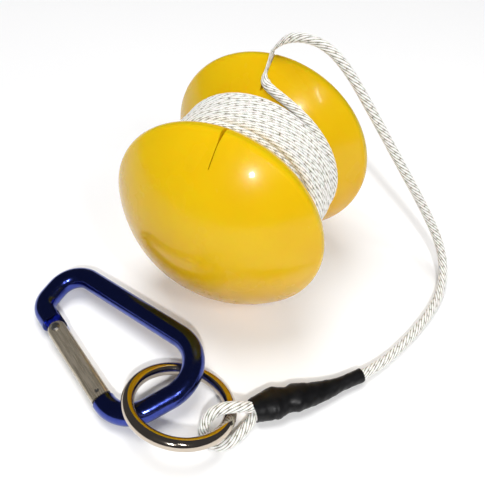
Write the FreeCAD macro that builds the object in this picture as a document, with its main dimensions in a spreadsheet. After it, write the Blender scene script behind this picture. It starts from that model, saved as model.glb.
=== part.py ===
# Throw-line spool: two hollow domed flanges on a moulded hub, a wound braided cord whose
# free end carries a shrink-sleeved eye, a welded ring and a D-shaped snap carabiner.
# Frame: millimetres, +Z up, the spool axis along Y, the front dome towards -Y, and the
# origin on the floor under the middle of the spool.
import FreeCAD, Part
import math
import os
import Sketcher
from FreeCAD import Placement, Rotation, Vector

doc = FreeCAD.newDocument("ThrowLineSpool")

# ---------------------------------------------------------------- driving dimensions
DIMENSIONS = [
    ("flangeRadius", 40.0, "outer radius of both flanges"),
    ("rimSpacing", 48.0, "distance between the two rim planes"),
    ("domeRadius", 49.0, "sphere radius of the outer domes"),
    ("dishRadius", 48.0, "sphere radius of the inner dishes"),
    ("rimRound", 4.0, "rounding of the rim"),
    ("shellWall", 2.2, "wall of the moulded shells"),
    ("padThickness", 3.0, "flat centre of a dish"),
    ("tongueWidth", 1.2, "locating tongue inside the rim joint"),
    ("tongueHeight", 1.0, "reach of the tongue past the joint"),
    ("slitWidth", 0.3, "cord slit between its lips, empty"),
    ("slitSpread", 0.9, "cord slit between its lips, held apart by the cord"),
    ("slitMouth", 2.0, "cord slit at the rim"),
    ("slitDepth", 8.6, "cord slit measured in from the rim"),
    ("mouthDepth", 2.6, "tapered mouth of the slit"),
    ("hubRadius", 10.0, "core between the dishes"),
    ("hubWidth", 6.0, "length of the core between the dishes"),
    ("spigotRadius", 7.5, "end of the core inside a dish"),
    ("hubBore", 4.0, "bore of the core"),
    ("anchorHole", 1.9, "radial hole for the inner end of the cord"),
    ("plateRadius", 12.0, "clamp plate"),
    ("plateThickness", 1.8, "clamp plate"),
    ("screwCircle", 5.75, "pitch radius of the hub screws"),
    ("screwRadius", 0.9, "thread of a hub screw"),
    ("screwLength", 5.0, "thread length in the core"),
    ("screwHead", 1.6, "head radius of a hub screw"),
    ("screwHeadHeight", 1.3, "head height of a hub screw"),
    ("cordRadius", 1.7, "braided cord"),
    ("windingEdge", 31.3, "outer radius of the winding beside a flange"),
    ("windingCrown", 32.3, "outer radius of the winding at mid width"),
    ("ringMean", 17.25, "ring, to the middle of the wire"),
    ("ringWire", 2.25, "radius of the ring wire"),
    ("barRadius", 4.0, "carabiner bar"),
    ("narrowRound", 9.0, "bend from the spine into the hinge end"),
    ("hingeRound", 7.0, "bend from the hinge end to the gate"),
    ("noseRound", 12.3, "bend from the wide end to the nose"),
    ("basketRound", 14.3, "bend from the spine into the wide end"),
    ("tangThickness", 3.0, "tongue that the gate is riveted to"),
    ("tangRadius", 3.276, "rounded end of the tongue"),
    ("tangOffset", 0.7, "cam offset of the rounded end"),
    ("noseThickness", 2.4, "tongue that the latch pin hooks on"),
    ("gateWidth", 7.0, "gate across, in the plane of the carabiner"),
    ("gateThickness", 6.6, "gate between its flat faces"),
    ("gateLength", 35.4, "gate from the rivet to its free end"),
    ("gateRound", 2.0, "rounding of the long edges of the gate"),
    ("latchReach", 33.1, "rivet to latch pin"),
    ("hingePin", 1.0, "rivet radius"),
    ("latchPin", 0.8, "latch pin radius"),
    ("springBore", 1.5, "bore for the gate spring"),
    ("springEnd", 20.0, "bottom of the spring bore from the rivet"),
    ("plungerRadius", 1.4, "plunger head"),
    ("plungerTip", 3.33, "plunger face from the rivet, gate shut"),
    ("plungerHead", 5.2, "length of the plunger head"),
]

sheet = doc.addObject("Spreadsheet::Sheet", "Sizes")
for row, (alias, number, note) in enumerate(DIMENSIONS, start=1):
    sheet.set("A%d" % row, alias)
    sheet.set("B%d" % row, str(number))
    sheet.set("C%d" % row, note)
    sheet.setAlias("B%d" % row, alias)
doc.recompute()


class Size:
    """A number together with the spreadsheet expression that it comes from."""

    def __init__(self, value, text=None):
        self.value = float(value)
        self.text = text if text else repr(float(value))

    @staticmethod
    def of(other):
        return other if isinstance(other, Size) else Size(other)

    def __add__(self, other):
        other = Size.of(other)
        return Size(self.value + other.value, "(%s + %s)" % (self.text, other.text))

    def __sub__(self, other):
        other = Size.of(other)
        return Size(self.value - other.value, "(%s - %s)" % (self.text, other.text))

    def __mul__(self, other):
        other = Size.of(other)
        return Size(self.value * other.value, "(%s * %s)" % (self.text, other.text))

    def __truediv__(self, other):
        other = Size.of(other)
        return Size(self.value / other.value, "(%s / %s)" % (self.text, other.text))

    def __neg__(self):
        return Size(-self.value, "(-1 * %s)" % self.text)

    def root(self):
        return Size(math.sqrt(self.value), "sqrt(%s)" % self.text)


def size(alias):
    return Size(sheet.get(alias), "Sizes." + alias)


ZERO = Size(0.0)
flangeRadius = size("flangeRadius")
rimRound = size("rimRound")
shellWall = size("shellWall")
halfSpacing = size("rimSpacing") / 2
hubHalf = size("hubWidth") / 2
axisHeight = flangeRadius


# ---------------------------------------------------------------- helpers
def originPlane(body, role):
    for feature in body.Origin.OriginFeatures:
        if feature.Role == role:
            return feature
    raise RuntimeError("no plane " + role)


def newBody(label):
    body = doc.addObject("PartDesign::Body", label)
    body.Label = label
    return body


def newSketch(body, role, name, offset=None):
    sketch = body.newObject("Sketcher::SketchObject", name)
    sketch.AttachmentSupport = [(originPlane(body, role), "")]
    sketch.MapMode = "FlatFace"
    if offset is not None:
        sketch.AttachmentOffset = offset
    return sketch


def drive(sketch, kind, arguments, amount):
    """Add a dimension to a sketch and bind it to its spreadsheet expression."""
    index = sketch.addConstraint(Sketcher.Constraint(kind, *arguments, amount.value))
    sketch.setExpression("Constraints[%d]" % index, amount.text)


def pin(sketch, geometry, end, x, y):
    """Dimension one point of a sketch from the sketch's origin."""
    if abs(x.value) < 1e-9:
        sketch.addConstraint(Sketcher.Constraint("PointOnObject", geometry, end, -2))
    else:
        drive(sketch, "DistanceX", (-1, 1, geometry, end), x)
    if abs(y.value) < 1e-9:
        sketch.addConstraint(Sketcher.Constraint("PointOnObject", geometry, end, -1))
    else:
        drive(sketch, "DistanceY", (-1, 1, geometry, end), y)


def arcThrough(start, finish, radius, side):
    """An arc from start to finish whose centre lies left (1) or right (-1) of the chord."""
    chord = finish - start
    normal = Vector(-chord.y, chord.x, 0).normalize()
    rise = math.sqrt(max(radius ** 2 - (chord.Length / 2) ** 2, 0.0))
    centre = (start + finish) / 2 + normal * (rise * side)
    angles = [math.atan2(point.y - centre.y, point.x - centre.x) for point in (start, finish)]
    circle = Part.Circle(centre, Vector(0, 0, 1), radius)
    if side > 0:
        return Part.ArcOfCircle(circle, angles[0], angles[1])
    return Part.ArcOfCircle(circle, angles[1], angles[0])


def loop(sketch, points, arcs=None):
    """Closed outline through dimensioned points; arcs maps a side's index to (radius, side)."""
    arcs = arcs or {}
    first = sketch.GeometryCount
    ends = []
    for index, (x, y) in enumerate(points):
        following = points[(index + 1) % len(points)]
        start = Vector(x.value, y.value, 0)
        finish = Vector(following[0].value, following[1].value, 0)
        if index in arcs:
            radius, side = arcs[index]
            sketch.addGeometry(arcThrough(start, finish, radius.value, side))
            ends.append((1, 2) if side > 0 else (2, 1))
        else:
            sketch.addGeometry(Part.LineSegment(start, finish))
            ends.append((1, 2))
    for index, (x, y) in enumerate(points):
        following = (index + 1) % len(points)
        joint = (first + index, ends[index][1], first + following, ends[following][0])
        sketch.addConstraint(Sketcher.Constraint("Coincident", *joint))
        pin(sketch, first + index, ends[index][0], x, y)
        if index in arcs:
            drive(sketch, "Radius", (first + index,), arcs[index][0])


def circle(sketch, x, y, radius):
    index = sketch.addGeometry(Part.Circle(Vector(x.value, y.value, 0), Vector(0, 0, 1), radius.value))
    pin(sketch, index, 3, x, y)
    drive(sketch, "Radius", (index,), radius)


def revolve(body, sketch, name, axis="V_Axis"):
    feature = body.newObject("PartDesign::Revolution", name)
    feature.Profile = sketch
    feature.ReferenceAxis = (sketch, [axis])
    feature.Angle = 360
    return feature


def pad(body, sketch, name, length, symmetric=True):
    feature = body.newObject("PartDesign::Pad", name)
    feature.Profile = sketch
    feature.setExpression("Length", length.text)
    feature.SideType = "Symmetric" if symmetric else "One side"
    return feature


def pocket(body, sketch, name, length, symmetric=True, reverse=False):
    """Cut a sketch out of the body and make sure that something was cut."""
    doc.recompute()
    before = body.Shape.Volume
    feature = body.newObject("PartDesign::Pocket", name)
    feature.Profile = sketch
    feature.setExpression("Length", length.text)
    feature.SideType = "Symmetric" if symmetric else "One side"
    feature.Reversed = reverse
    doc.recompute()
    if before - body.Shape.Volume < 0.01:
        raise RuntimeError(name + " cut nothing")
    return feature


def place(thing, position, rotation=None):
    thing.Placement = Placement(position, rotation or Rotation())


def solidFeature(label, shape, placement=None):
    feature = doc.addObject("Part::Feature", label)
    feature.Label = label
    feature.Shape = shape
    if placement is not None:
        feature.Placement = placement
    return feature


parts = []


# ---------------------------------------------------------------- flanges
def capHeights(radius):
    """Depth of a cap's sphere centre behind the rim plane, and where cap and rim meet."""
    reach = radius - rimRound
    depth = (reach * reach - (flangeRadius - rimRound) * (flangeRadius - rimRound)).root()
    return depth, (flangeRadius - rimRound) / reach, depth / reach


def cutSlits(body, width):
    """Two opposite cord slits, each a narrow cut with a tapered mouth at the rim."""
    half = width / 2
    mouth = size("slitMouth") / 2
    root = flangeRadius - size("slitDepth")
    throat = flangeRadius - size("mouthDepth")
    past = flangeRadius + 2
    sketch = newSketch(body, "XZ_Plane", "slitOutline")
    for up in (1, -1):
        loop(sketch, [(-half, root * up), (half, root * up), (half, throat * up),
                      (mouth, past * up), (-mouth, past * up), (-half, throat * up)])
    pocket(body, sketch, "slits", flangeRadius * 3)


def dome(label, slit):
    """Outer shell of a flange, from the rim plane to its pole along local +Y."""
    body = newBody(label)
    sketch = newSketch(body, "XY_Plane", "domeProfile")
    outer = size("domeRadius")
    inner = outer - shellWall
    innerRim = rimRound - shellWall
    depth, across, along = capHeights(outer)
    centre = flangeRadius - rimRound
    points = [
        (flangeRadius, ZERO),
        (centre + rimRound * across, rimRound * along),
        (ZERO, outer - depth),
        (ZERO, inner - depth),
        (centre + innerRim * across, innerRim * along),
        (flangeRadius - shellWall, ZERO),
    ]
    loop(sketch, points, {0: (rimRound, 1), 1: (outer, 1), 3: (inner, -1), 4: (innerRim, -1)})
    revolve(body, sketch, "domeShell")
    cutSlits(body, slit)
    return body


def dish(label, slit):
    """Inner shell of a flange: a dish with a flat, bored centre and a locating tongue."""
    body = newBody(label)
    sketch = newSketch(body, "XY_Plane", "dishProfile")
    outer = size("dishRadius")
    inner = outer - shellWall
    innerRim = rimRound - shellWall
    depth, across, along = capHeights(outer)
    centre = flangeRadius - rimRound
    padFace = hubHalf - halfSpacing
    padBack = padFace + size("padThickness")
    bore = size("spigotRadius") + 0.05
    faceEdge = (outer * outer - (depth - padFace) * (depth - padFace)).root()
    backEdge = (inner * inner - (depth - padBack) * (depth - padBack)).root()
    points = [
        (flangeRadius, ZERO),
        (centre + rimRound * across, -(rimRound * along)),
        (faceEdge, padFace),
        (bore, padFace),
        (bore, padBack),
        (backEdge, padBack),
        (centre + innerRim * across, -(innerRim * along)),
        (flangeRadius - shellWall, ZERO),
    ]
    loop(sketch, points, {0: (rimRound, -1), 1: (outer, -1), 5: (inner, 1), 6: (innerRim, 1)})
    revolve(body, sketch, "dishShell")
    tongue = newSketch(body, "XY_Plane", "tongueProfile")
    low = -(size("tongueHeight") * 2.4)
    loop(tongue, [(centre, low), (centre + size("tongueWidth"), low),
                  (centre + size("tongueWidth"), size("tongueHeight")), (centre, size("tongueHeight"))])
    revolve(body, tongue, "tongue")
    cutSlits(body, slit)
    return body


faceFront = Rotation(Vector(0, 1, 0), 5).multiply(Rotation(Vector(0, 0, 1), 180))
faceBack = Rotation()
flanges = (("front", -1, faceFront, size("slitWidth")), ("back", 1, faceBack, size("slitSpread")))
for prefix, direction, turn, slit in flanges:
    for maker, kind in ((dome, "dome"), (dish, "dish")):
        body = maker(prefix + "_" + kind, slit)
        place(body, Vector(0, direction * halfSpacing.value, axisHeight.value), turn)
        parts.append(body)


# ---------------------------------------------------------------- hub
def hubCore():
    """Core with a spigot at each end, a bore, screw pilots and the cord's anchor hole."""
    body = newBody("hub_core")
    sketch = newSketch(body, "XY_Plane", "coreProfile")
    endHalf = hubHalf + size("padThickness")
    spigot = size("spigotRadius")
    bore = size("hubBore")
    loop(sketch, [(bore, -endHalf), (spigot, -endHalf), (spigot, -hubHalf), (size("hubRadius"), -hubHalf),
                  (size("hubRadius"), hubHalf), (spigot, hubHalf), (spigot, endHalf), (bore, endHalf)])
    revolve(body, sketch, "core")
    hole = newSketch(body, "XY_Plane", "anchorOutline")
    circle(hole, ZERO, ZERO, size("anchorHole"))
    pocket(body, hole, "anchorHole", size("hubRadius") + 1, symmetric=False, reverse=True)
    pilots = newSketch(body, "XZ_Plane", "pilotOutline")
    for step in range(3):
        angle = math.radians(120 * step)
        circle(pilots, size("screwCircle") * math.cos(angle), size("screwCircle") * math.sin(angle),
               size("screwRadius"))
    pocket(body, pilots, "pilots", endHalf * 2)
    return body


def clampPlate(label):
    """Round plate that holds a dish against the core's shoulder; local Y is its thickness."""
    body = newBody(label)
    sketch = newSketch(body, "XZ_Plane", "plateOutline")
    circle(sketch, ZERO, ZERO, size("plateRadius"))
    circle(sketch, ZERO, ZERO, size("hubBore"))
    for step in range(3):
        angle = math.radians(120 * step)
        circle(sketch, size("screwCircle") * math.cos(angle), size("screwCircle") * math.sin(angle),
               size("screwRadius") + 0.15)
    pad(body, sketch, "plate", size("plateThickness"))
    return body


def hubScrews(label, direction):
    """Three self-tapping screws, their heads on the clamp plate."""
    seat = (hubHalf + size("padThickness") + size("plateThickness")).value
    reach = size("plateThickness").value + size("screwLength").value
    screws = []
    for step in range(3):
        angle = math.radians(120 * step)
        out = size("screwCircle").value
        foot = Vector(out * math.cos(angle), direction * seat, out * math.sin(angle))
        inward = Vector(0, -direction, 0)
        shank = Part.makeCylinder(size("screwRadius").value, reach - 0.8, foot, inward)
        tip = Part.makeCone(size("screwRadius").value, 0.2, 0.8, foot + inward * (reach - 0.8), inward)
        head = Part.makeCylinder(size("screwHead").value, size("screwHeadHeight").value, foot, -inward)
        driveHole = Part.makeCylinder(0.6, 0.8, foot - inward * size("screwHeadHeight").value, inward)
        screws.append(shank.fuse([tip, head]).cut(driveHole).removeSplitter())
    return solidFeature(label, Part.makeCompound(screws), Placement(Vector(0, 0, axisHeight.value), Rotation()))


core = hubCore()
place(core, Vector(0, 0, axisHeight.value))
parts.append(core)
plateMiddle = (hubHalf + size("padThickness") + size("plateThickness") / 2).value
for prefix, direction in (("front", -1), ("back", 1)):
    plate = clampPlate(prefix + "_clamp_plate")
    place(plate, Vector(0, direction * plateMiddle, axisHeight.value))
    parts.append(plate)
    parts.append(hubScrews(prefix + "_hub_screws", direction))


# ---------------------------------------------------------------- wound cord
def winding():
    """Closed solid of the wound cord: it fills the groove between the dishes."""
    body = newBody("cord_winding")
    sketch = newSketch(body, "XY_Plane", "windingProfile")
    gap = 0.1
    side = size("dishRadius") + gap
    depth, across, along = capHeights(size("dishRadius"))
    centre = halfSpacing + depth
    width = hubHalf - gap
    edge = size("windingEdge")
    innerEdge = (side * side - (centre - width) * (centre - width)).root()
    edgeHalf = centre - (side * side - edge * edge).root()
    rise = size("windingCrown") - edge
    crown = (edgeHalf * edgeHalf + rise * rise) / (rise * 2)
    foot = size("hubRadius") + 0.05
    loop(sketch, [(foot, -width), (innerEdge, -width), (edge, -edgeHalf), (edge, edgeHalf),
                  (innerEdge, width), (foot, width)],
         {1: (side, -1), 2: (crown, 1), 3: (side, -1)})
    revolve(body, sketch, "turns")
    place(body, Vector(0, 0, axisHeight.value))
    return body


def anchorKnot():
    """Inner end of the cord: a stopper knot in the bore and its stem through the core wall."""
    ball = doc.addObject("Part::Sphere", "knotBall")
    ball.setExpression("Radius", (size("hubBore") - 0.5).text)
    stem = doc.addObject("Part::Cylinder", "knotStem")
    stem.setExpression("Radius", size("cordRadius").text)
    stem.setExpression("Height", (size("hubRadius") - 0.2).text)
    knot = doc.addObject("Part::Fuse", "cord_anchor_knot")
    knot.Base = ball
    knot.Tool = stem
    knot.Label = "cord_anchor_knot"
    place(knot, Vector(0, 0, axisHeight.value))
    return knot


def pinchedCord():
    """Cord squeezed flat in the back slit, along the dish from the winding over the rim."""
    body = newBody("pinched_cord")
    sketch = newSketch(body, "YZ_Plane", "pinchedOutline")
    points = [(14.2, 32.0), (18.6, 36.4), (22.3, 39.9), (22.6, 41.2), (25.6, 41.2),
              (25.8, 38.6), (22.0, 34.6), (18.6, 31.5), (15.0, 31.5)]
    loop(sketch, [(Size(across), Size(up)) for across, up in points])
    pad(body, sketch, "squeezed", size("slitSpread") - 0.1)
    place(body, Vector(0, 0, axisHeight.value))
    return body


parts.append(winding())
parts.append(anchorKnot())
parts.append(pinchedCord())


# ---------------------------------------------------------------- free cord
# Route of the free cord: up out of the back slit, over in an arch, down to the floor
# beside the spool, then round along the floor to the sleeve.
FREE_CORD = [
    (-0.2, 24.0, 81.9), (3.0, 24.1, 86.6), (9.8, 24.0, 89.8), (18.8, 23.8, 89.0), (27.2, 23.6, 82.8),
    (36.6, 23.5, 70.4), (51.0, 24.0, 49.4), (63.6, 25.4, 30.2), (72.2, 26.0, 15.6), (76.8, 23.6, 6.9),
    (79.2, 16.8, 2.3), (79.6, 8.4, 1.8), (78.2, -2.0, 1.8), (75.0, -14.0, 1.8), (70.8, -25.6, 1.9),
    (66.6, -34.4, 2.4), (63.0, -39.8, 2.9)]

# Route of the eye: from the sleeve over the ring, round the tip, under the ring and back.
EYE_CORD = [
    (34.7, -68.8, 5.95), (31.6, -71.6, 8.0), (28.4, -74.2, 9.9), (24.2, -77.0, 9.1), (21.7, -80.3, 5.6),
    (22.8, -84.2, 2.3), (27.8, -85.2, 1.8), (32.0, -82.0, 1.75), (34.4, -75.4, 1.95), (35.1, -69.2, 2.5)]

SLEEVE_LINE = [
    (63.0, -39.8, 2.9), (57.6, -46.6, 3.0), (52.4, -52.2, 3.2), (48.6, -55.8, 3.7), (46.0, -58.1, 4.1),
    (43.2, -60.4, 4.1), (40.6, -62.8, 4.15), (38.0, -65.2, 4.15), (34.4, -69.55, 4.25)]


def tangentPath(route, name):
    """Straight runs joined by tangent arcs, each as large as its two runs allow."""
    points = [Vector(*point) for point in route]
    edges = []
    radii = []
    last = points[0]
    for before, corner, after in zip(points, points[1:], points[2:]):
        back = (before - corner).normalize()
        ahead = (after - corner).normalize()
        turn = math.pi - back.getAngle(ahead)
        shorter = min((before - corner).Length, (after - corner).Length)
        reach = 0.45 * shorter
        radii.append(reach / math.tan(turn / 2))
        start = corner + back * reach
        finish = corner + ahead * reach
        centre = corner + (back + ahead).normalize() * (radii[-1] / math.cos(turn / 2))
        middle = centre + (corner - centre).normalize() * radii[-1]
        edges.append(Part.LineSegment(last, start).toShape())
        edges.append(Part.Arc(start, middle, finish).toShape())
        last = finish
    edges.append(Part.LineSegment(last, points[-1]).toShape())
    print(name, "radii", " ".join("%.1f" % radius for radius in radii))
    return Part.Wire(edges)


def alongSleeve(radii):
    """Loft through circles square to the sleeve's centre line."""
    points = [Vector(*point) for point in SLEEVE_LINE]
    sections = []
    for index, radius in enumerate(radii):
        before = points[max(index - 1, 0)]
        after = points[min(index + 1, len(points) - 1)]
        direction = (after - before).normalize()
        sections.append(Part.Wire([Part.makeCircle(radius, points[index], direction)]))
    return Part.makeLoft(sections, True, False)


CORE_RADII = [1.75, 1.8, 1.95, 2.6, 2.95, 2.95, 2.95, 3.0, 3.45]
BORE_RADII = [1.8, 1.85, 2.0, 2.85, 3.5, 3.3, 3.5, 3.3, 3.5]
SKIN_RADII = [2.75, 2.8, 3.0, 3.55, 4.0, 3.85, 4.0, 3.85, 4.0]
sleeveSkin = alongSleeve(SKIN_RADII)


def cordTube(label, route):
    """Round cord along a route, ending where it meets the faces of the sleeve."""
    path = tangentPath(route, label)
    start = Vector(*route[0])
    direction = (Vector(*route[1]) - start).normalize()
    radius = size("cordRadius").value
    section = Part.Wire([Part.makeCircle(radius, start, direction)])
    tube = path.makePipeShell([section], True, False)
    expected = math.pi * radius ** 2 * path.Length
    print(label, "length %.1f, volume over section times length %.4f" % (path.Length, tube.Volume / expected))
    outside = max(tube.cut(sleeveSkin).Solids, key=lambda solid: solid.Volume)
    return solidFeature(label, outside)


parts.append(cordTube("free_cord", FREE_CORD))
parts.append(cordTube("cord_eye", EYE_CORD))


# ---------------------------------------------------------------- sleeve and splice
parts.append(solidFeature("cord_splice", alongSleeve(CORE_RADII)))
parts.append(solidFeature("shrink_sleeve", sleeveSkin.cut(alongSleeve(BORE_RADII))))


def crimpRings():
    """Two crimped bands round the doubled cord, under the lumps of the sleeve."""
    bands = []
    for index in (4, 6):
        centre = Vector(*SLEEVE_LINE[index])
        direction = (Vector(*SLEEVE_LINE[index + 1]) - Vector(*SLEEVE_LINE[index - 1])).normalize()
        foot = centre - direction * 0.9
        outer = Part.makeCylinder(3.4, 1.8, foot, direction)
        inner = Part.makeCylinder(3.08, 2.2, foot - direction * 0.2, direction)
        bands.append(outer.cut(inner))
    return solidFeature("crimp_rings", Part.makeCompound(bands))


parts.append(crimpRings())


# ---------------------------------------------------------------- ring
ring = doc.addObject("Part::Torus", "ring")
ring.Label = "ring"
ring.setExpression("Radius1", size("ringMean").text)
ring.setExpression("Radius2", size("ringWire").text)
ringTilt = Rotation(Vector(0, 0, 1), Vector(0.094, 0.324, 1.0))
place(ring, Vector(12.0, -79.2, 7.8), ringTilt)
parts.append(ring)


# ---------------------------------------------------------------- carabiner
# Local frame: X along the spine towards the wide end, Y from the gate towards the spine,
# Z square to its plane, origin in the middle of the spine.
CORNERS = {"narrow": (-32.5, 0.0), "hinge": (-30.35, -19.19), "nose": (29.0, -37.3), "basket": (45.5, 0.0)}
GATE_START = 14.6        # corner of the hinge end to the rivet, along the gate line
TANG_SHOULDER = 4.7      # rivet to the end of the round bar at the hinge
NOSE_SHOULDER = 36.2     # rivet to the end of the round bar at the nose

hingeCorner = Vector(*CORNERS["hinge"], 0)
noseCorner = Vector(*CORNERS["nose"], 0)
gateDirection = (noseCorner - hingeCorner).normalize()
rivet = hingeCorner + gateDirection * GATE_START
gateTurn = Rotation(Vector(0, 0, 1), math.degrees(math.atan2(gateDirection.y, gateDirection.x)))
gatePlace = Placement(rivet, gateTurn)
carabinerMatrix = FreeCAD.Matrix(
    0.97214, 0.22103, -0.07805, -23.52,
    -0.23020, 0.96299, -0.14018, -50.11,
    0.04417, 0.15424, 0.98705, 8.67,
    0, 0, 0, 1)
carabinerPlace = Placement(carabinerMatrix)


def bentPath(sketch, corners, rounds, finish):
    """Open path of straight stretches through construction corners, joined by tangent arcs."""
    marks = []
    for corner in corners:
        mark = sketch.addGeometry(Part.Point(Vector(*corner, 0)), True)
        pin(sketch, mark, 1, Size(corner[0]), Size(corner[1]))
        marks.append(mark)
    points = [Vector(0, 0, 0)] + [Vector(*corner, 0) for corner in corners] + [finish]
    last = points[0]
    previous = None
    for index, radius in enumerate(rounds):
        corner = points[index + 1]
        back = (points[index] - corner).normalize()
        ahead = (points[index + 2] - corner).normalize()
        turn = math.pi - back.getAngle(ahead)
        reach = radius.value * math.tan(turn / 2)
        start = corner + back * reach
        end = corner + ahead * reach
        side = 1 if back.cross(ahead).z < 0 else -1
        line = sketch.addGeometry(Part.LineSegment(last, start))
        arc = sketch.addGeometry(arcThrough(start, end, radius.value, side))
        enter, leave = (1, 2) if side > 0 else (2, 1)
        if previous is None:
            pin(sketch, line, 1, ZERO, ZERO)
        else:
            sketch.addConstraint(Sketcher.Constraint("Tangent", previous[0], previous[1], line, 1))
            sketch.addConstraint(Sketcher.Constraint("PointOnObject", marks[index - 1], 1, line))
        sketch.addConstraint(Sketcher.Constraint("PointOnObject", marks[index], 1, line))
        sketch.addConstraint(Sketcher.Constraint("Tangent", line, 2, arc, enter))
        drive(sketch, "Radius", (arc,), radius)
        previous = (arc, leave)
        last = end
    line = sketch.addGeometry(Part.LineSegment(last, finish))
    sketch.addConstraint(Sketcher.Constraint("Tangent", previous[0], previous[1], line, 1))
    pin(sketch, line, 2, Size(finish.x), Size(finish.y))


def carabinerBody():
    """Bar bent to a D, with a tongue for the gate's rivet and a hooked tongue at the nose."""
    body = newBody("carabiner_body")
    section = newSketch(body, "YZ_Plane", "barSection")
    circle(section, ZERO, ZERO, size("barRadius"))
    ends = (
        ("hingeBar", ("narrow", "hinge"), ("narrowRound", "hingeRound"), rivet - gateDirection * TANG_SHOULDER),
        ("noseBar", ("basket", "nose"), ("basketRound", "noseRound"), rivet + gateDirection * NOSE_SHOULDER))
    for name, corners, rounds, finish in ends:
        path = newSketch(body, "XY_Plane", name + "Path")
        bentPath(path, [CORNERS[corner] for corner in corners], [size(alias) for alias in rounds], finish)
        pipe = body.newObject("PartDesign::AdditivePipe", name)
        pipe.Profile = section
        pipe.Spine = (path, [])
        doc.recompute()

    tang = newSketch(body, "XY_Plane", "tangOutline", gatePlace)
    offset = size("tangOffset")
    radius = size("tangRadius")
    heel = Size(-TANG_SHOULDER - 3)
    loop(tang, [(heel, offset - radius), (ZERO, offset - radius), (ZERO, offset + radius),
                (heel, offset + radius)], {1: (radius + 0.0001, 1)})
    pad(body, tang, "tang", size("tangThickness"))
    hole = newSketch(body, "XY_Plane", "rivetHole", gatePlace)
    circle(hole, ZERO, ZERO, size("hingePin"))
    pocket(body, hole, "rivetBore", size("barRadius") * 3)

    nose = newSketch(body, "XY_Plane", "noseOutline", gatePlace)
    reach = size("latchReach")
    slot = Size(1.05)
    lip = reach - 3
    loop(nose, [(Size(NOSE_SHOULDER + 2), Size(-2.9)), (Size(NOSE_SHOULDER + 2), Size(2.9)),
                (reach + slot, Size(2.9)), (reach + slot, Size(-1.1)), (reach - slot, Size(-1.1)),
                (reach - slot, Size(1.7)), (lip, Size(1.7)), (lip, Size(-2.9))])
    pad(body, nose, "nose", size("noseThickness"))
    body.Placement = carabinerPlace
    return body


def gate():
    """Gate: a flat-sided bar, forked over the tang and slotted over the nose."""
    body = newBody("gate")
    plan = newSketch(body, "XY_Plane", "gatePlan")
    half = size("gateWidth") / 2
    length = size("gateLength")
    loop(plan, [(ZERO, half), (ZERO, -half), (length, -half), (length, half)], {0: (half + 0.0001, 1)})
    pad(body, plan, "gateBar", size("gateThickness"))
    doc.recompute()
    bar = body.Tip
    rails = []
    for index, edge in enumerate(bar.Shape.Edges, start=1):
        ends = [vertex.Point for vertex in edge.Vertexes]
        if len(ends) == 2 and abs(ends[0].x - ends[1].x) > length.value / 2:
            rails.append("Edge%d" % index)
    fillet = body.newObject("PartDesign::Fillet", "longEdges")
    fillet.Base = (bar, rails)
    fillet.setExpression("Radius", size("gateRound").text)
    doc.recompute()

    fork = newSketch(body, "XZ_Plane", "forkOutline")
    gap = size("tangThickness") / 2 + 0.1
    loop(fork, [(-half - 1, -gap), (Size(7.5), -gap), (Size(7.5), gap), (-half - 1, gap)])
    pocket(body, fork, "fork", size("gateWidth") * 2)
    mouth = newSketch(body, "XZ_Plane", "mouthOutline")
    gap = size("noseThickness") / 2 + 0.2
    loop(mouth, [(length - 6, -gap), (length + 1, -gap), (length + 1, gap), (length - 6, gap)])
    pocket(body, mouth, "mouth", size("gateWidth") * 2)
    holes = newSketch(body, "XY_Plane", "pinHoles")
    circle(holes, ZERO, ZERO, size("hingePin") + 0.05)
    circle(holes, size("latchReach"), ZERO, size("latchPin"))
    pocket(body, holes, "pinBores", size("gateThickness") * 2)
    bore = newSketch(body, "YZ_Plane", "springOutline")
    circle(bore, ZERO, ZERO, size("springBore"))
    pocket(body, bore, "springBore", size("springEnd"), symmetric=False, reverse=True)
    body.Placement = carabinerPlace.multiply(gatePlace)
    return body


def hingePin():
    """Rivet through the gate's ears, with a low peened head at each end."""
    body = newBody("gate_hinge_pin")
    sketch = newSketch(body, "XZ_Plane", "rivetProfile")
    seat = size("gateThickness") / 2 + 0.05
    top = seat + 0.5
    head = Size(1.7)
    crown = Size(1.1)
    loop(sketch, [(ZERO, -top), (crown, -top), (head, -(seat + 0.15)), (head, -seat),
                  (size("hingePin"), -seat), (size("hingePin"), seat), (head, seat),
                  (head, seat + 0.15), (crown, top), (ZERO, top)])
    revolve(body, sketch, "rivet")
    body.Placement = carabinerPlace.multiply(gatePlace)
    return body


def latchPin():
    pinObject = doc.addObject("Part::Cylinder", "gate_latch_pin")
    pinObject.Label = "gate_latch_pin"
    pinObject.setExpression("Radius", size("latchPin").text)
    pinObject.setExpression("Height", (size("gateThickness") - 0.4).text)
    foot = Vector(size("latchReach").value, 0, 0.2 - size("gateThickness").value / 2)
    pinObject.Placement = carabinerPlace.multiply(gatePlace).multiply(Placement(foot, Rotation()))
    return pinObject


def plunger():
    """Spring plunger: a head that bears on the tang and a stem inside the spring."""
    body = newBody("gate_plunger")
    sketch = newSketch(body, "XY_Plane", "plungerProfile")
    tip = size("plungerTip")
    back = tip + size("plungerHead")
    loop(sketch, [(tip, ZERO), (tip, size("plungerRadius")), (back, size("plungerRadius")),
                  (back, Size(0.6)), (back + 3.5, Size(0.6)), (back + 3.5, ZERO)])
    revolve(body, sketch, "plunger", "H_Axis")
    body.Placement = carabinerPlace.multiply(gatePlace)
    return body


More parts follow.
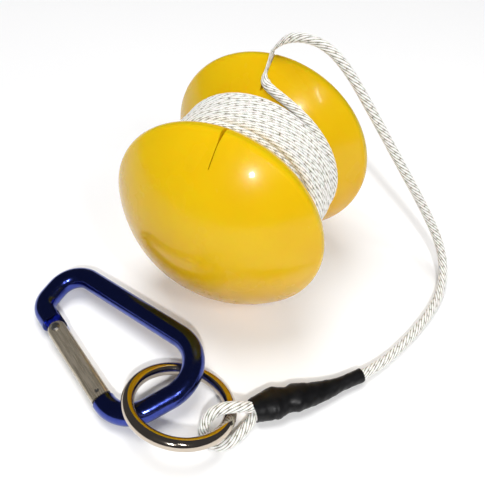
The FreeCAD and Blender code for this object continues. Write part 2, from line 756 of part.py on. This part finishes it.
def gateSpring():
    """Coil spring between the plunger's head and the bottom of its bore."""
    wire = 0.19
    start = size("plungerTip").value + size("plungerHead").value + 0.45 + wire
    finish = size("springEnd").value - 0.25
    radius = 1.1
    turns = 11
    path = Part.makeHelix((finish - start) / turns, finish - start, radius)
    section = Part.Wire([Part.makeCircle(wire, Vector(radius, 0, 0), Vector(0, 1, 0))])
    coil = Part.Wire(path.Edges).makePipeShell([section], True, True)
    alongGate = Placement(Vector(start, 0, 0), Rotation(Vector(0, 1, 0), 90))
    return solidFeature("gate_spring", coil, carabinerPlace.multiply(gatePlace).multiply(alongGate))


for maker in (carabinerBody, gate, hingePin, latchPin, plunger, gateSpring):
    parts.append(maker())


# ---------------------------------------------------------------- checks and export
doc.recompute()
for item in doc.Objects:
    if "Invalid" in item.State or "Error" in item.State:
        raise RuntimeError("%s failed: %s" % (item.Label, item.State))
for item in parts:
    if item.Shape.isNull() or not item.Shape.isValid() or not item.Shape.Solids:
        raise RuntimeError(item.Label + " has no valid solid")

os.makedirs("parts", exist_ok=True)
for item in parts:
    item.Shape.exportStep("parts/%s.step" % item.Label)
    box = item.Shape.BoundBox
    print("%-18s solids %d volume %9.1f  z %.2f to %.2f" % (
        item.Label, len(item.Shape.Solids), item.Shape.Volume, box.ZMin, box.ZMax))
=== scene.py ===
import math

import bpy
import numpy as np
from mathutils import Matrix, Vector


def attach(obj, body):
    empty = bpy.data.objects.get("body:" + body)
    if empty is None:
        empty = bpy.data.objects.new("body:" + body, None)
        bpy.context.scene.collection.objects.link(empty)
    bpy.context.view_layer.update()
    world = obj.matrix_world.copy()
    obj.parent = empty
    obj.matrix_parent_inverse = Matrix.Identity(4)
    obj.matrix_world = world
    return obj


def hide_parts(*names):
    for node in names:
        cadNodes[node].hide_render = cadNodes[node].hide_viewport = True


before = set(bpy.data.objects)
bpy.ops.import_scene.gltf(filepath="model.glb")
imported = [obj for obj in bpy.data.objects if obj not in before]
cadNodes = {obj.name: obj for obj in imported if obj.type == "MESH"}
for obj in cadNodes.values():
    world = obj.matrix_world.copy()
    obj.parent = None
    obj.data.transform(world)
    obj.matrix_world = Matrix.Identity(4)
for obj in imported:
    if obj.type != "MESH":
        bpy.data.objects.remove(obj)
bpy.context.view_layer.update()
scene = bpy.context.scene
randomDraw = np.random.default_rng(7)
mm = 0.001


# camera, floor and lights
cameraView = {"place": (0.08132, -0.18082, 0.2068), "target": (0.00602, -0.01572, 0.0234), "lens": 50.6}
cameraData = bpy.data.cameras.new("camera")
cameraData.lens = cameraView["lens"]
cameraData.sensor_width = 36
cameraData.clip_start = 0.01
camera = bpy.data.objects.new("camera", cameraData)
camera.location = cameraView["place"]
camera.rotation_euler = (Vector(cameraView["target"]) - camera.location).to_track_quat("-Z", "Y").to_euler()
scene.collection.objects.link(camera)
scene.camera = camera
scene.view_settings.view_transform = "Standard"

studio = {
    "worldColour": (0.065, 0.065, 0.07),
    "worldPower": 1.0,
    "floorSide": 3.0,
    "middle": (0.0, -0.02, 0.04),   # where all the lamps point
    "lamps": [
        # name, direction from the spool, distance, side lengths, power, seen in gloss
        ("keyBox", (0.36, -0.66, 0.66), 0.75, (0.045, 0.045), 2.9, True),
        ("topBox", (-0.2, 0.2, 1.0), 1.5, (1.0, 1.0), 16.8, False),
        ("edgeBox", (0.56, -0.36, 0.75), 0.9, (0.035, 0.2), 0.8, True),
        ("sideBox", (1.0, -0.25, 0.7), 0.9, (0.3, 0.42), 1.7, False),
        ("fillBox", (-1.0, -0.9, 0.75), 1.0, (0.4, 0.4), 0.9, False),
    ],
}
world = bpy.data.worlds.new("studio")
world.use_nodes = True
world.node_tree.nodes["Background"].inputs["Color"].default_value = (*studio["worldColour"], 1)
world.node_tree.nodes["Background"].inputs["Strength"].default_value = studio["worldPower"]
scene.world = world
for lampName, direction, distance, sides, power, inGloss in studio["lamps"]:
    lampData = bpy.data.lights.new(lampName, "AREA")
    lampData.shape = "RECTANGLE"
    lampData.size, lampData.size_y = sides
    lampData.energy = power
    lamp = bpy.data.objects.new(lampName, lampData)
    aim = Vector(direction).normalized()
    lamp.location = Vector(studio["middle"]) + aim * distance
    lamp.rotation_euler = (-aim).to_track_quat("-Z", "Y").to_euler()
    lamp.visible_glossy = inGloss
    scene.collection.objects.link(lamp)
print("camera and lights are up")


def startMaterial(name, colour, roughness, metallic=0.0):
    material = bpy.data.materials.new(name)
    material.use_nodes = True
    shader = material.node_tree.nodes["Principled BSDF"]
    shader.inputs["Base Color"].default_value = (*colour, 1)
    shader.inputs["Roughness"].default_value = roughness
    shader.inputs["Metallic"].default_value = metallic
    return material, shader


def addNode(material, kind, **values):
    node = material.node_tree.nodes.new(kind)
    for key, value in values.items():
        if hasattr(node, key):
            setattr(node, key, value)
        else:
            node.inputs[key.replace("_", " ")].default_value = value
    return node


def join(material, source, target):
    material.node_tree.links.new(source, target)


# cloudy noise, turned about Z and then stretched where that is asked for
def noiseOf(material, scale, detail=3.0, stretch=None, coordinate="Object", turn=0.0):
    source = addNode(material, "ShaderNodeTexCoord").outputs[coordinate]
    if turn:
        turned = addNode(material, "ShaderNodeMapping", Rotation=(0, 0, turn))
        join(material, source, turned.inputs["Vector"])
        source = turned.outputs["Vector"]
    if stretch:
        mapping = addNode(material, "ShaderNodeMapping", Scale=stretch)
        join(material, source, mapping.inputs["Vector"])
        source = mapping.outputs["Vector"]
    grain = addNode(material, "ShaderNodeTexNoise", Scale=scale, Detail=detail)
    join(material, source, grain.inputs["Vector"])
    return grain.outputs["Fac"]


def rampOf(material, source, stops):
    ramp = addNode(material, "ShaderNodeValToRGB")
    while len(ramp.color_ramp.elements) < len(stops):
        ramp.color_ramp.elements.new(0.5)
    for element, (position, colour) in zip(ramp.color_ramp.elements, stops):
        element.position = position
        element.color = (*colour, 1)
    join(material, source, ramp.inputs["Fac"])
    return ramp.outputs["Color"]


def rangeOf(material, source, low, high, fromLow=0.3, fromHigh=0.7):
    span = addNode(material, "ShaderNodeMapRange")
    for key, value in (("From Min", fromLow), ("From Max", fromHigh), ("To Min", low), ("To Max", high)):
        span.inputs[key].default_value = value
    join(material, source, span.inputs["Value"])
    return span.outputs["Result"]


def bumpFrom(material, shader, layers):
    previous = None
    for source, strength, distance in layers:
        bump = addNode(material, "ShaderNodeBump", Strength=strength, Distance=distance)
        join(material, source, bump.inputs["Height"])
        if previous:
            join(material, previous, bump.inputs["Normal"])
        previous = bump.outputs["Normal"]
    join(material, previous, shader.inputs["Normal"])


# mottled colour and patchy roughness, each from its own noise
def mottle(material, shader, look):
    if "stops" in look:
        patches = noiseOf(material, *look["colourNoise"])
        join(material, rampOf(material, patches, look["stops"]), shader.inputs["Base Color"])
    patches = noiseOf(material, *look["roughNoise"])
    join(material, rangeOf(material, patches, *look["roughness"]), shader.inputs["Roughness"])


def setGloss(shader, look):
    for socketName, value in look["gloss"].items():
        shader.inputs[socketName].default_value = value


def yellowMoulding():
    look = {
        "upper": [(0.25, (0.68, 0.40, 0.003)), (0.5, (0.72, 0.455, 0.003)), (0.8, (0.76, 0.50, 0.006))],
        # painted shade: a deeper orange copy of the yellow, blended in near the floor
        "shadedLower": [(0.3, (0.68, 0.33, 0.002)), (0.7, (0.73, 0.38, 0.003))],
        "paintedShadeUpTo": 0.052,          # painted shade: the yellow is painted a deeper orange from the floor up to here
        "cloudNoise": (26, 2),
        "roughNoise": (60, 3),
        "roughness": (0.20, 0.30),
        "waves": (0.08, 0.0006),    # strength and height of the slow unevenness
        "grain": (0.012, 0.00003),
        "gloss": {"Specular IOR Level": 0.16, "Coat Weight": 0.3, "Coat IOR": 1.33, "Coat Roughness": 0.06,
                  "Subsurface Weight": 0.4, "Subsurface Radius": (1.0, 0.45, 0.06),
                  "Subsurface Scale": 0.004},
    }
    material, shader = startMaterial("yellowMoulding", look["upper"][1][1], 0.24)
    clouds = noiseOf(material, *look["cloudNoise"])
    upper = rampOf(material, clouds, look["upper"])
    shadedLower = rampOf(material, clouds, look["shadedLower"])
    height = addNode(material, "ShaderNodeSeparateXYZ")
    join(material, addNode(material, "ShaderNodeTexCoord").outputs["Object"], height.inputs["Vector"])
    # painted shade: towards the floor the deeper orange copy takes over from the upper yellow
    blend = addNode(material, "ShaderNodeMix", data_type="RGBA")
    factor, first, second, result = blend.inputs[0], blend.inputs[6], blend.inputs[7], blend.outputs[2]
    join(material, rangeOf(material, height.outputs["Z"], 0, 1, 0.0, look["paintedShadeUpTo"]), factor)
    join(material, shadedLower, first)
    join(material, upper, second)
    join(material, result, shader.inputs["Base Color"])
    mottle(material, shader, look)
    setGloss(shader, look)
    bumpFrom(material, shader, [(noiseOf(material, 45, 2), *look["waves"]),
                                (noiseOf(material, 1500, 3), *look["grain"])])
    return material


def hubMoulding():
    look = {"colour": (0.6, 0.4, 0.03), "roughness": 0.5, "grainNoise": (900, 4), "grain": (0.2, 0.0001)}
    material, shader = startMaterial("hubMoulding", look["colour"], look["roughness"])
    bumpFrom(material, shader, [(noiseOf(material, *look["grainNoise"]), *look["grain"])])
    return material


def whiteBraid(name="whiteBraid"):
    look = {
        # painted shade: the white yarn is painted through shade to a dark groove colour where the grooves
        # between stitches lie deep
        "crest": (0.86, 0.855, 0.83), "shade": (0.47, 0.45, 0.38), "groove": (0.12, 0.11, 0.075),
        "roughness": (0.62, 0.85),
        "filament": (46.0, 9.0, 1.0),   # fineness of the yarn round and along the cord
        "filamentRelief": (0.35, 0.0001),
        "gloss": {"Sheen Weight": 0.25, "Subsurface Weight": 0.08, "Subsurface Scale": 0.001},
    }
    material, shader = startMaterial(name, look["crest"], 0.72)
    depth = addNode(material, "ShaderNodeAttribute", attribute_name="grooveDepth")
    # painted shade: groove depth picks the darker colours, so the recesses come out shaded
    stops = [(0.0, look["crest"]), (0.3, look["crest"]), (0.62, look["shade"]), (0.95, look["groove"])]
    join(material, rampOf(material, depth.outputs["Fac"], stops), shader.inputs["Base Color"])
    setGloss(shader, look)
    filaments = noiseOf(material, 1.0, 2, look["filament"], "UV")
    join(material, rangeOf(material, filaments, *look["roughness"]), shader.inputs["Roughness"])
    bumpFrom(material, shader, [(filaments, *look["filamentRelief"])])
    return material


def blackSleeve():
    look = {
        "stops": [(0.3, (0.003, 0.003, 0.0033)), (0.75, (0.008, 0.008, 0.009))],
        "colourNoise": (260, 5),
        "roughNoise": (420, 5),
        "roughness": (0.3, 0.52),
        "pucker": (0.35, 0.0003),
        "grain": (0.15, 0.00005),
        "gloss": {"Specular IOR Level": 0.22},
    }
    material, shader = startMaterial("blackSleeve", (0.006, 0.006, 0.0065), 0.4)
    mottle(material, shader, look)
    setGloss(shader, look)
    bumpFrom(material, shader, [(noiseOf(material, 520, 4), *look["pucker"]),
                                (noiseOf(material, 2600, 2), *look["grain"])])
    return material


def platedRing():
    look = {"colour": (0.56, 0.485, 0.40), "roughNoise": (300, 6), "roughness": (0.06, 0.17),
            "grainNoise": (1200, 4), "grain": (0.04, 0.00004)}
    material, shader = startMaterial("platedRing", look["colour"], 0.1, 1.0)
    mottle(material, shader, look)
    bumpFrom(material, shader, [(noiseOf(material, *look["grainNoise"]), *look["grain"])])
    return material


def blueAnodised():
    look = {
        "stops": [(0.3, (0.038, 0.055, 0.27)), (0.7, (0.048, 0.070, 0.34))],
        "colourNoise": (900, 5),
        "roughNoise": (700, 5),
        "roughness": (0.15, 0.24),
        "grain": (0.02, 0.00003),
        "gloss": {"Coat Weight": 0.2, "Coat Roughness": 0.14, "Coat Tint": (0.6, 0.85, 1.0, 1)},
    }
    material, shader = startMaterial("blueAnodised", look["stops"][1][1], 0.2, 1.0)
    mottle(material, shader, look)
    setGloss(shader, look)
    bumpFrom(material, shader, [(noiseOf(material, 1800, 4), *look["grain"])])
    return material


def bareAluminium():
    look = {
        "stops": [(0.3, (0.34, 0.29, 0.21)), (0.7, (0.56, 0.50, 0.40))],
        "roughness": (0.2, 0.36),
        "metallic": 0.72,
        "streakTurn": 30.1,             # degrees that bring the streaks along the gate
        "streakStretch": (0.06, 1.0, 1.0),
        "relief": (0.12, 0.00006),
    }
    material, shader = startMaterial("bareAluminium", look["stops"][1][1], 0.3, look["metallic"])
    streaks = noiseOf(material, 1600, 5, look["streakStretch"], turn=math.radians(look["streakTurn"]))
    join(material, rangeOf(material, streaks, *look["roughness"]), shader.inputs["Roughness"])
    join(material, rampOf(material, streaks, look["stops"]), shader.inputs["Base Color"])
    bumpFrom(material, shader, [(streaks, *look["relief"])])
    return material


def plainSteel():
    look = {"colour": (0.5, 0.49, 0.47), "roughNoise": (1500, 4), "roughness": (0.26, 0.46)}
    material, shader = startMaterial("plainSteel", look["colour"], 0.34, 1.0)
    mottle(material, shader, look)
    return material


def paleFloor():
    look = {"stops": [(0.2, (0.94, 0.94, 0.94)), (0.8, (0.96, 0.96, 0.96))], "colourNoise": (3, 3)}
    material, shader = startMaterial("paleFloor", (0.95, 0.95, 0.95), 0.85)
    patches = noiseOf(material, *look["colourNoise"])
    join(material, rampOf(material, patches, look["stops"]), shader.inputs["Base Color"])
    return material


braidFinish = whiteBraid()
sleeveFinish = blackSleeve()
nodeFinish = {
    yellowMoulding(): ("front_dome", "front_dish", "back_dome", "back_dish"),
    hubMoulding(): ("hub_core", "front_clamp_plate", "back_clamp_plate"),
    platedRing(): ("ring",),
    blueAnodised(): ("carabiner_body",),
    bareAluminium(): ("gate",),
    plainSteel(): ("front_hub_screws", "back_hub_screws", "gate_hinge_pin", "gate_latch_pin",
                   "gate_plunger", "gate_spring", "crimp_rings"),
    whiteBraid("hiddenCord"): ("cord_anchor_knot", "cord_splice"),
}
for material, nodeNames in nodeFinish.items():
    for nodeName in nodeNames:
        slots = cadNodes[nodeName].data.materials
        for index in range(max(1, len(slots))):
            if len(slots) <= index:
                slots.append(material)
            else:
                slots[index] = material
print("materials are ready")


half = studio["floorSide"] / 2
floorMesh = bpy.data.meshes.new("floor")
floorCorners = [(-half, -half, 0), (half, -half, 0), (half, half, 0), (-half, half, 0)]
floorMesh.from_pydata(floorCorners, [], [(0, 1, 2, 3)])
floor = bpy.data.objects.new("floor", floorMesh)
floorMesh.materials.append(paleFloor())
scene.collection.objects.link(floor)
print("floor is down")


braid = {
    "columns": 10,          # rows of stitches round the cord
    "twist": 0.021,         # length over which a row goes once round
    "stitch": 0.0066,       # length of one stitch
    "relief": 0.2,          # depth of the grooves, in cord radii
    "fullness": 0.8,        # below 1 the stitches are flat-topped
    "wander": (0.047, 0.31),    # lengths over which the stitches of a slack winding roll to and fro
}


def nurbsLine(name, route, resolution=24):
    curve = bpy.data.curves.new(name, "CURVE")
    curve.dimensions = "3D"
    curve.resolution_u = resolution
    spline = curve.splines.new("NURBS")
    spline.points.add(len(route) - 1)
    for point, place in zip(spline.points, route):
        point.co = (place[0] * mm, place[1] * mm, place[2] * mm, 1)
    spline.order_u = 3
    spline.use_endpoint_u = True
    holder = bpy.data.objects.new(name, curve)
    mesh = bpy.data.meshes.new_from_object(holder)
    line = np.array([vertex.co[:] for vertex in mesh.vertices])
    bpy.data.objects.remove(holder)
    bpy.data.meshes.remove(mesh)
    return line


def evenly(line, step):
    runs = np.linalg.norm(np.diff(line, axis=0), axis=1)
    along = np.concatenate([[0], np.cumsum(runs)])
    count = max(2, int(round(along[-1] / step)) + 1)
    marks = np.linspace(0, along[-1], count)
    return np.stack([np.interp(marks, along, line[:, axis]) for axis in range(3)], 1), marks


# goes from 0 to 1 without a corner at either end
def smoothly(share):
    share = np.clip(share, 0, 1)
    return share * share * (3 - 2 * share)


# directions ahead, sideways and up along a line; keepUp holds the up side to one direction
def lineFrames(line, firstSide, keepUp=None):
    ahead = np.gradient(line, axis=0)
    ahead /= np.linalg.norm(ahead, axis=1)[:, None]
    if keepUp is not None:
        ups = np.array(keepUp, float) - ahead * (ahead @ np.array(keepUp, float))[:, None]
        ups /= np.linalg.norm(ups, axis=1)[:, None]
        return ahead, np.cross(ups, ahead), ups
    side = np.array(firstSide, float)
    sides = []
    for direction in ahead:
        side = side - direction * (side @ direction)
        side /= np.linalg.norm(side)
        sides.append(side)
    sides = np.array(sides)
    return ahead, sides, np.cross(ahead, sides)


# height of the braid's stitches, 1 on a crest and 0 in a groove
def stitchPattern(around, along, twist, wander):
    short, long = braid["wander"]
    roll = wander * np.sin(along / short + np.sin(along / long))
    rows = braid["columns"] * (around + along / twist + roll)
    row = np.floor(rows)
    across = rows - row - 0.5
    place = along / braid["stitch"] + row * 0.5
    lengthwise = place - np.floor(place) - 0.5
    width = 0.5 * (1 - 0.75 * np.abs(2 * lengthwise) ** 4)
    return np.clip(1 - (across / width) ** 2, 0, 1) ** braid["fullness"]


# four-sided faces between neighbouring rings of points
def wallFaces(rings, around):
    index = np.arange(rings * around).reshape(rings, around)
    following = np.roll(index, -1, axis=1)
    walls = np.stack([index[:-1], following[:-1], following[1:], index[1:]], -1).reshape(-1, 4)
    return index, walls.tolist()


# braided tube along a line; shape gives the two half widths of the section at each mark
def cordMesh(name, line, radius, step, around, firstSide=(1, 0, 0), shape=None, relief=None,
             twist=None, wander=0.0, keepUp=None):
    line, marks = evenly(np.asarray(line), step)
    ahead, sides, ups = lineFrames(line, firstSide, keepUp)
    twist = twist or braid["twist"]
    turn = np.arange(around) / around
    turns, lengths = np.meshgrid(turn, marks)
    height = stitchPattern(turns, lengths, twist, wander)
    depth = braid["relief"] if relief is None else relief
    grow = 1 + depth * 0.45 - depth * (1 - height)
    wide, tall = (np.full(len(marks), radius), np.full(len(marks), radius))
    if shape is not None:
        wide, tall = shape(marks)
    angle = turns * 2 * np.pi
    offset = (sides[:, None] * (np.cos(angle) * grow * wide[:, None])[..., None]
              + ups[:, None] * (np.sin(angle) * grow * tall[:, None])[..., None])
    places = (line[:, None] + offset).reshape(-1, 3)
    rings = len(marks)
    index, faces = wallFaces(rings, around)
    faces += [index[0][::-1].tolist(), index[-1].tolist()]
    mesh = bpy.data.meshes.new(name)
    mesh.from_pydata(places.tolist(), [], faces)
    mesh.polygons.foreach_set("use_smooth", [True] * len(mesh.polygons))
    # groove depth, from which the braid material paints its shade into the grooves
    groove = mesh.attributes.new("grooveDepth", "FLOAT", "POINT")
    groove.data.foreach_set("value", (1 - height).reshape(-1).astype(np.float32))
    layer = mesh.uv_layers.new(name="UVMap")
    loops = np.zeros(len(mesh.loops), int)
    mesh.loops.foreach_get("vertex_index", loops)
    ringOf = loops // around
    turnOf = loops % around
    flat = turnOf / around + marks[ringOf] / twist
    # the last face of each ring runs on past one whole turn
    wallCount = (rings - 1) * around * 4
    corner = np.arange(len(loops)) % 4
    lastFace = np.zeros(len(loops), bool)
    lastFace[:wallCount] = ((np.arange(wallCount) // 4) % around) == around - 1
    flat[lastFace & ((corner == 1) | (corner == 2))] += 1
    uv = np.stack([flat, marks[ringOf] / braid["stitch"]], -1)
    layer.data.foreach_set("uv", uv.reshape(-1).astype(np.float32))
    mesh.update()
    piece = bpy.data.objects.new(name, mesh)
    mesh.materials.append(braidFinish)
    scene.collection.objects.link(piece)
    return piece, line


# free cord, from the slit of the back flange to the sleeve
freeCord = {
    "radius": 1.65 * mm,
    "step": 0.3 * mm,
    "around": 48,
    "opening": 0.011,       # length over which the squeezed cord gets round again
    "squeezed": 0.28,       # half width in the slit, in cord radii
    "swollen": 1.22,        # half height in the slit, in cord radii
    "route": [
        (-0.2, 24.0, 81.9), (3.0, 24.1, 86.6), (9.8, 24.0, 89.8), (18.8, 23.8, 89.0), (27.2, 23.6, 82.8),
        (36.6, 23.5, 70.4), (51.0, 24.0, 49.4), (63.6, 25.4, 30.2), (72.2, 26.0, 15.6), (76.8, 23.6, 6.9),
        (79.2, 16.8, 2.3), (79.6, 8.4, 1.8), (78.2, -2.0, 1.8), (75.0, -14.0, 1.8), (70.8, -25.6, 1.9),
        (66.6, -34.4, 2.4), (63.0, -39.8, 2.9)],
}


# flat where the slit lets go of the cord, round after about three diameters
def squeezedStart(marks):
    ease = smoothly(marks / freeCord["opening"])
    wide = freeCord["squeezed"] + (1 - freeCord["squeezed"]) * ease
    tall = freeCord["swollen"] + (1 - freeCord["swollen"]) * ease
    return freeCord["radius"] * wide, freeCord["radius"] * tall


freeLine = nurbsLine("freeLine", freeCord["route"])
freePiece, freePath = cordMesh("freeCordBraid", freeLine, freeCord["radius"], freeCord["step"],
                               freeCord["around"], (0.83, 0, -0.56), squeezedStart)
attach(freePiece, "spool")
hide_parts("free_cord")

# eye of the cord, over the ring, round and back under it
eyeCord = {
    "radius": 1.7 * mm,
    "step": 0.25 * mm,
    "around": 48,
    "flatter": 0.04,        # how the section changes at the tip of the eye, in cord radii
    "wider": 0.22,
    "route": [
        (34.7, -68.8, 5.95), (31.6, -71.6, 8.0), (28.4, -74.2, 9.9), (24.2, -77.0, 9.1),
        (21.7, -80.3, 5.6), (22.8, -84.2, 2.3), (27.8, -85.2, 1.8), (32.0, -82.0, 1.75),
        (34.4, -75.4, 1.95), (35.1, -69.2, 2.5)],
}
eyeLine = nurbsLine("eyeLine", eyeCord["route"])
# the eye opens out a little where the two parts leave the sleeve
def spreadEye(marks):
    middle = np.sin(np.pi * np.clip(marks / marks[-1], 0, 1)) ** 0.7
    flat = 1.0 - eyeCord["flatter"] * middle
    wide = 1.0 + eyeCord["wider"] * middle
    return eyeCord["radius"] * flat, eyeCord["radius"] * wide


eyePiece, eyePath = cordMesh("eyeCordBraid", eyeLine, eyeCord["radius"], eyeCord["step"],
                             eyeCord["around"], (0, 0, 1), spreadEye)
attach(eyePiece, "spool")
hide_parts("cord_eye")
print("free cord and eye are laid")


# cord between the winding and the slit
leadCord = {
    "radius": 1.6 * mm,
    "step": 0.3 * mm,
    "around": 48,
    "closing": 0.005,       # length over which the slit squeezes the cord flat
    "inSlit": 0.0075,       # length that stays flat in the slit
    "route": [
        (21.5, 8.6, 22.0), (27.0, 9.2, 26.5), (30.6, 9.7, 33.6), (31.6, 10.0, 41.5), (30.2, 10.3, 49.6),
        (26.8, 10.6, 56.8), (21.6, 11.0, 63.0), (15.4, 11.7, 67.6), (9.4, 12.6, 70.6), (4.4, 13.6, 72.4),
        (1.0, 15.2, 73.4), (-0.1, 17.4, 74.9), (-0.2, 20.2, 77.4), (-0.2, 22.6, 80.0), (-0.2, 24.0, 82.0)],
}


# round along the winding, flat in the slit like the start of the free cord
def squeezedLead(marks):
    flatFrom = marks[-1] - leadCord["inSlit"] - leadCord["closing"]
    ease = smoothly((marks - flatFrom) / leadCord["closing"])
    wide = 1.0 - (1 - freeCord["squeezed"]) * ease
    tall = 1.0 + (freeCord["swollen"] - 1) * ease
    return leadCord["radius"] * wide, leadCord["radius"] * tall


leadLine = nurbsLine("leadLine", leadCord["route"])
leadPiece = cordMesh("leadCordBraid", leadLine, leadCord["radius"], leadCord["step"],
                     leadCord["around"], None, squeezedLead, keepUp=(0, 1, 0))[0]
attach(leadPiece, "spool")
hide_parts("pinched_cord")
print("cord runs through the slit")


winding = {
    "radius": 1.62 * mm,
    "layers": [11.75, 14.9, 18.0, 21.15, 24.3, 27.4, 30.5],   # middle of the cord from the spool axis
    "outerLayers": 2,       # layers that can be seen and are drawn with stitches
    "firstClimb": 3.1,      # a stretch starts this far under its first layer
    "dishCentre": 49.3,     # the dishes are parts of spheres with their centres here
    "dishClear": 49.75,     # sphere radius that keeps the cord clear of the dishes
    "hubHeight": 40,
    "pitch": 2.9,
    "twist": 0.034,
    "wander": 0.45,         # how far the stitches roll round the cord, in turns
    "sway": 0.4,            # sideways unevenness
    "sag": (0.22, 0.15),    # quick and slow unevenness in height
    "crown": 0.35,          # extra height at mid width
    "climb": 0.4,           # turns over which the cord climbs to the next layer
    "endAngle": -14,        # where the last turn ends, in degrees round the spool axis
    "thinLength": 0.01,     # length over which an end gets thinner
    "thinEnd": 0.6,         # thickness of an end, in cord radii
    "turnSteps": 90,
}


# one unbroken helix that climbs from layer to layer; the outer two layers are apart from the rest
# and run out under the cord that goes to the slit
def windingLine(inner=False):
    split = -winding["outerLayers"]
    chosen = winding["layers"][:split] if inner else winding["layers"][split:]
    halfAt = lambda reach: winding["dishCentre"] - math.sqrt(winding["dishClear"] ** 2 - reach ** 2)
    turnsIn = [max(1.0, 2 * halfAt(reach) / winding["pitch"]) for reach in chosen]
    startAngle = math.radians(winding["endAngle"]) - 2 * math.pi * sum(turnsIn)
    below = chosen[0] - winding["firstClimb"]
    quick, slow = winding["sag"]
    sideways = -1
    points = []
    for reach, turnsHere in zip(chosen, turnsIn):
        steps = int(turnsHere * winding["turnSteps"])
        phase = randomDraw.uniform(0, 2 * math.pi, 4)
        for step in range(steps):
            part = step / steps
            angle = 2 * math.pi * turnsHere * part
            base = below + (reach - below) * float(smoothly(part * turnsHere / winding["climb"]))
            edge = math.sin(math.pi * part) ** 0.5
            swing = math.sin(2 * angle + phase[0]) * 0.6 + math.sin(0.37 * angle + phase[1])
            across = sideways * halfAt(base) * (2 * part - 1) + winding["sway"] * edge * swing
            lift = edge * (quick * math.sin(3 * angle + phase[2]) + slow * math.sin(0.7 * angle + phase[3]))
            rise = base + lift + winding["crown"] * (1 - (2 * part - 1) ** 2)
            whole = startAngle + angle
            points.append((rise * math.cos(whole), across, winding["hubHeight"] + rise * math.sin(whole)))
        startAngle += 2 * math.pi * turnsHere
        below = reach
        sideways = -sideways
    return np.array(points) * mm


# the outer turns get thinner where they end, so that both ends lie hidden
def thinEnds(marks):
    ease = np.clip(np.minimum(marks, marks[-1] - marks) / winding["thinLength"], 0, 1)
    radius = winding["radius"] * (winding["thinEnd"] + (1 - winding["thinEnd"]) * ease)
    return radius, radius


innerPiece, innerPath = cordMesh("innerTurns", windingLine(True), winding["radius"], 1.6 * mm, 12,
                                 relief=0.0)
outerPiece, outerPath = cordMesh("outerTurns", windingLine(), winding["radius"], 0.5 * mm, 36,
                                 shape=thinEnds, twist=winding["twist"], wander=winding["wander"])
for piece in (innerPiece, outerPiece):
    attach(piece, "spool")
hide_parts("cord_winding")
lengthOf = lambda path: float(np.linalg.norm(np.diff(path, axis=0), axis=1).sum())
print("winding holds %.2f m of cord" % (lengthOf(innerPath) + lengthOf(outerPath)))


sleeve = {
    "route": [
        (63.0, -39.8, 2.9), (57.6, -46.6, 3.0), (52.4, -52.2, 3.2), (48.6, -55.8, 3.7), (46.0, -58.1, 4.1),
        (43.2, -60.4, 4.1), (40.6, -62.8, 4.15), (38.0, -65.2, 4.15), (34.4, -69.55, 4.25)],
    # fraction of the length, outer radius
    "profile": [(0.0, 2.72), (0.08, 2.75), (0.2, 2.8), (0.33, 2.95), (0.42, 3.3), (0.52, 3.55),
                (0.58, 3.7), (0.63, 3.98), (0.68, 3.75), (0.74, 3.7), (0.80, 4.0), (0.86, 3.75),
                (0.91, 3.85), (0.96, 3.98), (1.0, 3.8)],
    # fraction of the length, how far the crumpled skin is spread sideways
    "spread": [(0.0, 0.92), (0.1, 0.86), (0.21, 0.84), (0.32, 1.1), (0.45, 1.22), (0.53, 1.32),
               (0.62, 1.38), (0.685, 1.2), (0.75, 1.38), (0.8, 1.5), (0.88, 1.38), (0.95, 1.12),
               (1.0, 1.05)],
    # depth, waves round, waves along, where they start and how fast they grow
    "wrinkles": [(0.10, 2, 9, 0.25, 3), (0.07, 3, -31, 0.35, 4), (0.035, 5, 57, None, None),
                 (0.03, 1, 95, None, None)],
    "taller": 0.05,         # the doubled cord makes the section taller near the eye
    "wall": 0.62,
    "lip": 0.12,            # how far the rounded edge stands out at each end
    "tuck": 12,             # rows that the inner skin runs into each end
    "step": 0.3 * mm,
    "around": 56,
}


# values along the sleeve from a short table, with the corners smoothed away
def alongSleeve(part, table):
    table = np.array(table)
    window = np.hanning(9) / np.hanning(9).sum()
    return np.convolve(np.pad(np.interp(part, table[:, 0], table[:, 1]), 4, "edge"), window, "valid")


def sleevePiece():
    line, marks = evenly(nurbsLine("sleeveLine", sleeve["route"]), sleeve["step"])
    ahead, sides, ups = lineFrames(line, (0, 0, 1))
    around = sleeve["around"]
    part = marks / marks[-1]
    radius = alongSleeve(part, sleeve["profile"])
    broad = alongSleeve(part, sleeve["spread"])[:, None]
    angle = np.arange(around) / around * 2 * np.pi
    phase = randomDraw.uniform(0, 2 * np.pi, 6)
    rows, columns = np.meshgrid(part, angle, indexing="ij")
    wrinkle = 0
    for (depth, wavesRound, wavesAlong, start, growth), shift in zip(sleeve["wrinkles"], phase):
        wave = depth * np.sin(wavesRound * columns + wavesAlong * rows + shift)
        wrinkle = wrinkle + (wave if start is None else wave * np.clip((rows - start) * growth, 0, 1))
    outer = (radius[:, None] + wrinkle) * mm
    inner = outer - sleeve["wall"] * mm
    tall = 1 + sleeve["taller"] * np.clip((part - 0.5) * 3, 0, 1)[:, None]
    outside, inside = [
        line[:, None] + sides[:, None] * (np.cos(angle) * skin * tall)[..., None]
        + ups[:, None] * (np.sin(angle) * skin * broad)[..., None]
        for skin in (outer, inner)]
    lip = lambda end: outside[end] * 0.5 + inside[end] * 0.5
    standOut = sleeve["lip"] * mm
    tuck = sleeve["tuck"]
    loops = [inside[row] for row in range(tuck, 0, -2)]
    loops += [inside[0], lip(0) - ahead[0] * standOut]
    loops += list(outside)
    loops += [lip(-1) + ahead[-1] * standOut, inside[-1]]
    loops += [inside[-1 - row] for row in range(2, tuck + 1, 2)]
    mesh = bpy.data.meshes.new("sleeveSkin")
    mesh.from_pydata(np.concatenate(loops).tolist(), [], wallFaces(len(loops), around)[1])
    mesh.polygons.foreach_set("use_smooth", [True] * len(mesh.polygons))
    mesh.materials.append(sleeveFinish)
    piece = bpy.data.objects.new("sleeveSkin", mesh)
    scene.collection.objects.link(piece)
    return piece


sleeveSkin = sleevePiece()
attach(sleeveSkin, "spool")
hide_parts("shrink_sleeve")
print("sleeve is shrunk on")
